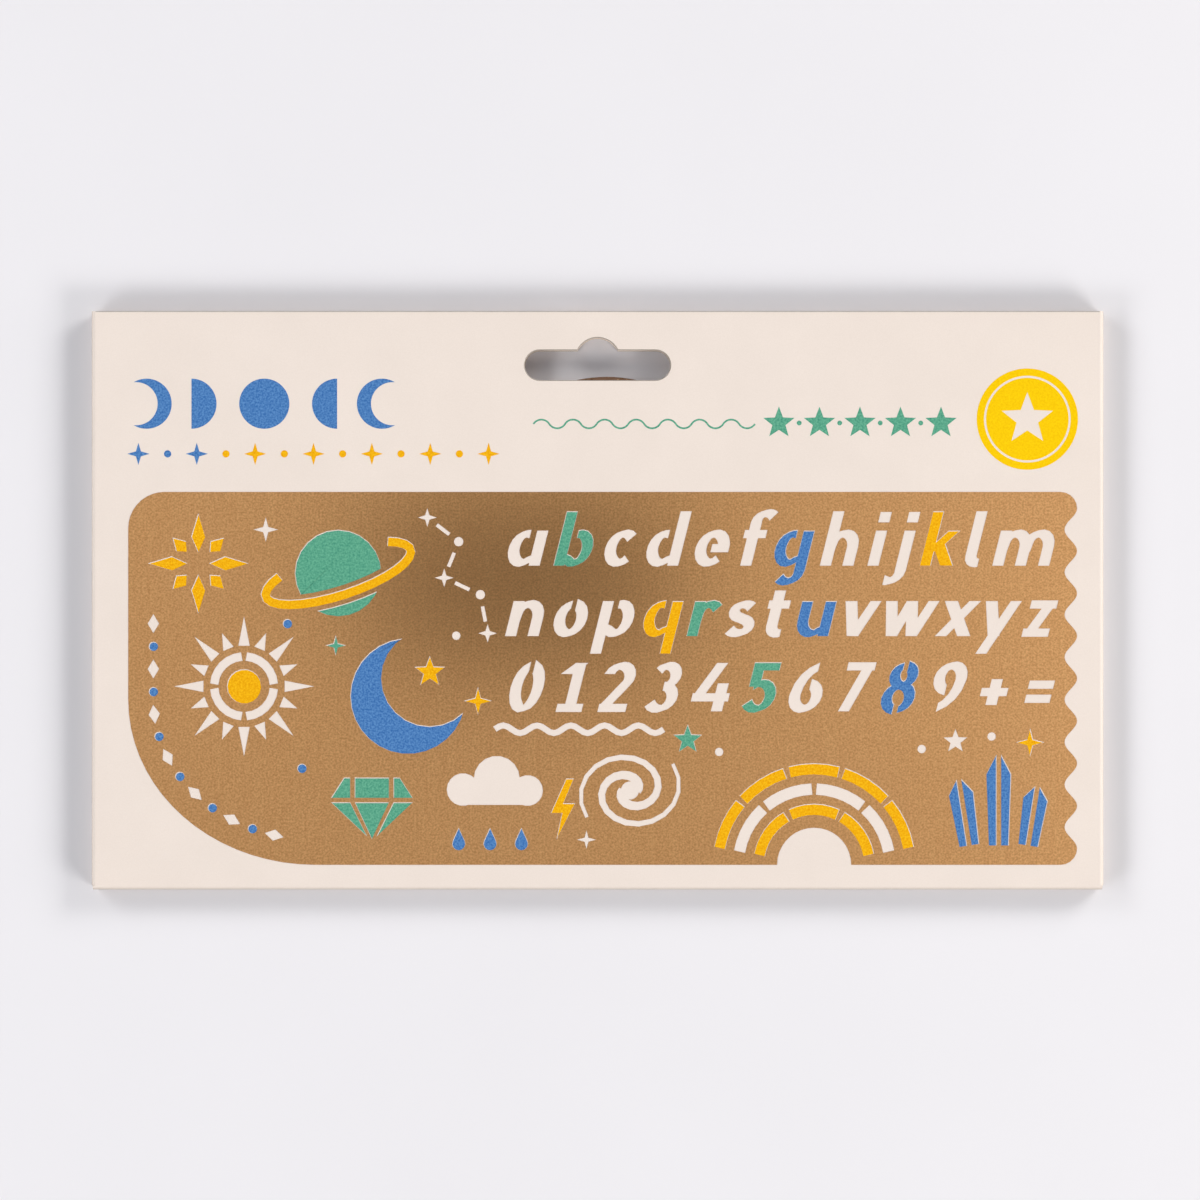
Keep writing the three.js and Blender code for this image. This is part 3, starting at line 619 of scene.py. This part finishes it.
def etched_brass():
    # Rolled brass sheet, brushed along its length and photo-etched through: straight fine
    # scratches stretch its reflections across them, and handling has clouded it. The etched walls
    # of its cut-outs are matt and darker. Scratches are drawn coarser than real ones.
    material, tree, at = new_material("etched_brass")
    clouds = add(tree, "TexNoise", {"Vector": at, "Scale": per(14), "Detail": 4})
    clouds = add(tree, "MapRange", {"Value": clouds, **MIDDLE_HALF})
    sheet = {0: clouds, 6: linear("D8B067"), 7: linear("C79A55")}
    colour = add(tree, "Mix", sheet, 2, data_type="RGBA")
    along = add(tree, "Mapping", {"Vector": at, "Scale": (per(14), per(0.16), per(0.16))})
    scratches = add(tree, "TexNoise", {"Vector": along, "Scale": 1, "Detail": 3})
    share = add(tree, "MapRange", {"Value": scratches, **MIDDLE_HALF, "To Max": 0.35})
    colour = add(tree, "Mix", {0: share, 6: colour, 7: linear("A97F41")}, 2, data_type="RGBA")
    facing = add(tree, "NewGeometry", {}, "True Normal")
    upright = add(tree, "SeparateXYZ", {"Vector": facing}, "Z")
    upright = add(tree, "Math", {0: upright}, operation="ABSOLUTE")
    is_wall = add(tree, "Math", {0: upright, 1: 0.5}, operation="LESS_THAN")
    colour = add(tree, "Mix", {0: is_wall, 6: colour, 7: linear("8A6834")}, 2, data_type="RGBA")
    rough = {"Value": clouds, "To Min": 0.27, "To Max": 0.4}
    rough = add(tree, "MapRange", rough)
    rough = add(tree, "Mix", {0: is_wall, 2: rough, 3: 0.6}, data_type="FLOAT")
    normal = add(tree, "Bump", {"Height": scratches, "Strength": 0.5, "Distance": 0.006 * MM})
    finish = {"Metallic": 1.0, "Roughness": rough, "Base Color": colour, "Normal": normal}
    shader = add(tree, "BsdfPrincipled", finish)
    add(tree, "OutputMaterial", {"Surface": shader})
    return material


def stamped_foil():
    # Copper-gold foil, hot-stamped on uncoated board: a metal film that takes the board's tooth
    # as orange peel, so that its reflections break into grain, with faint streaks the way the
    # roller pulled it off. Both are drawn a little coarser than real ones.
    material, tree, at = new_material("hot_stamped_foil")
    pulled = add(tree, "Mapping", {"Vector": at, "Scale": (per(0.3), per(12), per(1))})
    streaks = add(tree, "TexNoise", {"Vector": pulled, "Scale": 1, "Detail": 3})
    share = add(tree, "MapRange", {"Value": streaks, **MIDDLE_HALF})
    film = {0: share, 6: linear("ECB678"), 7: linear("E4AC70")}
    colour = add(tree, "Mix", film, 2, data_type="RGBA")
    peel = add(tree, "TexNoise", {"Vector": at, "Scale": per(0.4), "Detail": 2})
    share = add(tree, "MapRange", {"Value": peel, **MIDDLE_HALF, "To Max": 0.85})
    colour = add(tree, "Mix", {0: share, 6: colour, 7: linear("BE8A54")}, 2, data_type="RGBA")
    rough = {"Value": peel, **MIDDLE_HALF, "To Min": 0.28, "To Max": 0.3}
    rough = add(tree, "MapRange", rough)
    height = {"Height": streaks, "Strength": 0.1, "Distance": 0.006 * MM}
    normal = add(tree, "Bump", height)
    height = {"Height": peel, "Strength": 0.35, "Distance": 0.02 * MM, "Normal": normal}
    normal = add(tree, "Bump", height)
    finish = {"Metallic": 1.0, "Roughness": rough, "Base Color": colour, "Normal": normal}
    shader = add(tree, "BsdfPrincipled", finish)
    add(tree, "OutputMaterial", {"Surface": shader})
    return material


def offset_ink(name, shade, light):
    # Offset ink on uncoated board: it sinks in unevenly, so it is matt and speckled where the
    # fibres take less of it. The speckle is drawn a little coarser than the real one.
    material, tree, at = new_material(name)
    speckle = add(tree, "TexNoise", {"Vector": at, "Scale": per(0.4), "Detail": 2})
    share = add(tree, "MapRange", {"Value": speckle, **MIDDLE_HALF})
    colour = {0: share, 6: linear(shade), 7: linear(light)}
    colour = add(tree, "Mix", colour, 2, data_type="RGBA")
    normal = add(tree, "Bump", {"Height": speckle, "Strength": 0.2, "Distance": 0.008 * MM})
    finish = {"Roughness": 0.8, "Specular IOR Level": 0.05, "Base Color": colour, "Normal": normal}
    shader = add(tree, "BsdfPrincipled", finish)
    add(tree, "OutputMaterial", {"Surface": shader})
    return material


def dried_glue():
    # Cold glue, rolled on wet and dried to a yellowish film: glossy, with ripples and bubbles.
    material, tree, at = new_material("dried_glue")
    ripples = add(tree, "TexNoise", {"Vector": at, "Scale": per(0.8), "Detail": 3})
    share = add(tree, "MapRange", {"Value": ripples, **MIDDLE_HALF})
    colour = {0: share, 6: linear("E8DFC4"), 7: linear("D9CBA6")}
    colour = add(tree, "Mix", colour, 2, data_type="RGBA")
    bubbles = add(tree, "TexVoronoi", {"Vector": at, "Scale": per(0.6)})
    normal = add(tree, "Bump", {"Height": bubbles, "Strength": 0.3, "Distance": 0.02 * MM})
    height = {"Height": ripples, "Strength": 0.5, "Distance": 0.03 * MM, "Normal": normal}
    normal = add(tree, "Bump", height)
    finish = {"Roughness": 0.35, "Base Color": colour, "Normal": normal}
    shader = add(tree, "BsdfPrincipled", finish)
    add(tree, "OutputMaterial", {"Surface": shader})
    return material


def background_paper():
    # Seamless white paper on a roll: matt, with a hardly visible cloudiness.
    material, tree, at = new_material("background_paper")
    clouds = add(tree, "TexNoise", {"Vector": at, "Scale": per(60), "Detail": 2})
    colour = {0: clouds, 6: linear("E8E6E9"), 7: linear("ECEAED")}
    colour = add(tree, "Mix", colour, 2, data_type="RGBA")
    finish = {"Roughness": 0.9, "Specular IOR Level": 0.2, "Base Color": colour}
    shader = add(tree, "BsdfPrincipled", finish)
    add(tree, "OutputMaterial", {"Surface": shader})
    return material


def studio_card(name, brightness, brightest=None):
    # A card over the set that only mirrors see, dark or lit. With a brightest value, soft bright
    # fields lie round its middle, so that metals that are seen from a side take a sheen from them.
    material, tree, at = new_material(name)
    glow = {"Color": linear(STUDIO_WHITE), "Strength": brightness}
    if brightest:
        turn = add(tree, "TexGradient", {"Vector": at}, "Fac", gradient_type="RADIAL")
        fields = add(tree, "Math", {0: turn, 1: SKY_FIELDS * math.tau}, operation="MULTIPLY")
        fields = add(tree, "Math", {0: fields}, operation="SINE")
        fields = {"Value": fields, "From Min": -1, "To Min": brightness / 2, "To Max": brightest}
        fields = add(tree, "MapRange", fields)
        reach = add(tree, "VectorMath", {"Vector": at}, "Value", operation="LENGTH")
        share = add(tree, "MapRange", {"Value": reach, **FIELDS_START})
        mix = {0: share, 2: brightness, 3: fields}
        glow["Strength"] = add(tree, "Mix", mix, data_type="FLOAT")
    shader = add(tree, "Emission", glow)
    add(tree, "OutputMaterial", {"Surface": shader})
    return material


def dress_nodes():
    """The model's own nodes take the finish of their material slot."""
    finishes = {
        "card": cream_board("uncoated_cream_board"),
        "kraft": kraft_board(),
        "brass": etched_brass(),
        "foil": stamped_foil(),
        "glue": dried_glue(),
    }
    for part in frame["record"]["subparts"]:
        node = frame["nodes"][part["node"]]
        node.data.materials.clear()
        node.data.materials.append(finishes[part["material_slot"]])


# Studio

def add_camera():
    distance = VIEW_WIDTH * LENS / SENSOR
    bpy.ops.object.camera_add(location=(*VIEW_MIDDLE, card_face + distance), rotation=(0, 0, 0))
    camera = bpy.context.object
    camera.data.lens = LENS
    camera.data.sensor_width = SENSOR
    bpy.context.scene.camera = camera


def add_floor():
    bpy.ops.mesh.primitive_plane_add(size=FLOOR_SIZE, location=(0, 0, 0))
    floor = bpy.context.object
    floor.name = "floor"
    floor.data.materials.append(background_paper())


def add_mirror_card(name, plan):
    """A card over the pack that shows in the metals only."""
    bpy.ops.mesh.primitive_plane_add(size=1, location=plan["place"])
    bpy.context.object.scale = (*plan["size"], 1)
    card = settled(name)
    card.visible_camera = False
    card.visible_shadow = False
    card.visible_diffuse = False
    card.data.materials.append(studio_card(name, *plan["glow"]))


def add_softbox(name, azimuth, elevation, power, colour):
    """An area light that faces the pack, so many degrees round from its right and over the floor.

    It is screened from mirrors, so that the metals show the cards and aren't bleached by it.
    """
    place = Vector((SOFTBOX["distance"], 0, 0))
    place.rotate(Euler((0, -math.radians(elevation), math.radians(azimuth))))
    bpy.ops.object.light_add(type="AREA", location=place)
    light = bpy.context.object
    light.name = name
    light.data.shape = "RECTANGLE"
    light.data.size, light.data.size_y = SOFTBOX["size"]
    light.data.energy = power
    light.data.color = colour
    light.visible_glossy = False
    light.rotation_euler = (-place).to_track_quat("-Z", "Y").to_euler()


def add_studio():
    warm, cool = (1, 0.99, 0.97), (0.98, 0.99, 1)
    add_softbox("right_low_softbox", 0, 10, 5, warm)
    add_softbox("right_back_softbox", 38, 18, 19.8, warm)
    add_softbox("right_front_softbox", -38, 18, 20.4, warm)
    add_softbox("left_back_softbox", 145, 20, 10.6, cool)
    add_softbox("left_front_softbox", -145, 20, 12.2, cool)
    add_softbox("left_high_softbox", 180, 28, 5.4, cool)
    add_mirror_card("sky_card", SKY_CARD)
    add_mirror_card("side_card", SIDE_CARD)
    add_mirror_card("front_card", FRONT_CARD)
    add_mirror_card("camera_flag", FLAG)
    world = bpy.data.worlds.new("studio")
    bpy.context.scene.world = world
    world.use_nodes = True
    background = world.node_tree.nodes["Background"]
    background.inputs["Color"].default_value = linear(STUDIO_WHITE)
    background.inputs["Strength"].default_value = ROOM_GLOW
    bpy.context.scene.view_settings.view_transform = "Standard"


add_camera()
add_floor()
add_studio()
dress_nodes()

front_board(frame["nodes"]["front_panel"].data.materials[0])
creased = cream_board("creased_cream_board", creased=True)
crease("left_fold", 0, creased)
crease("right_fold", math.pi, creased)
crease("bottom_fold", math.pi / 2, creased)

blue = offset_ink("blue_offset_ink", "3366A8", "5E8FC5")
green = offset_ink("green_offset_ink", "439078", "6DB494")
yellow = offset_ink("yellow_offset_ink", "E69C00", "F8C01A")
bright_yellow = offset_ink("bright_yellow_offset_ink", "F2C000", "FBD10C")

cut_outs = cut_out_faces()
print_ink("blue", cut_outs, blue)
print_ink("green", cut_outs, green)
print_ink("yellow", cut_outs, yellow)
bpy.data.objects.remove(cut_outs)

moon_row(blue)
mark_row("blue_mark_row", 0, 2, 1, 1, blue)
mark_row("yellow_mark_row", 4, 5, 3, 5, yellow)
wave_rule(green)
star_row(green)
seal(bright_yellow)
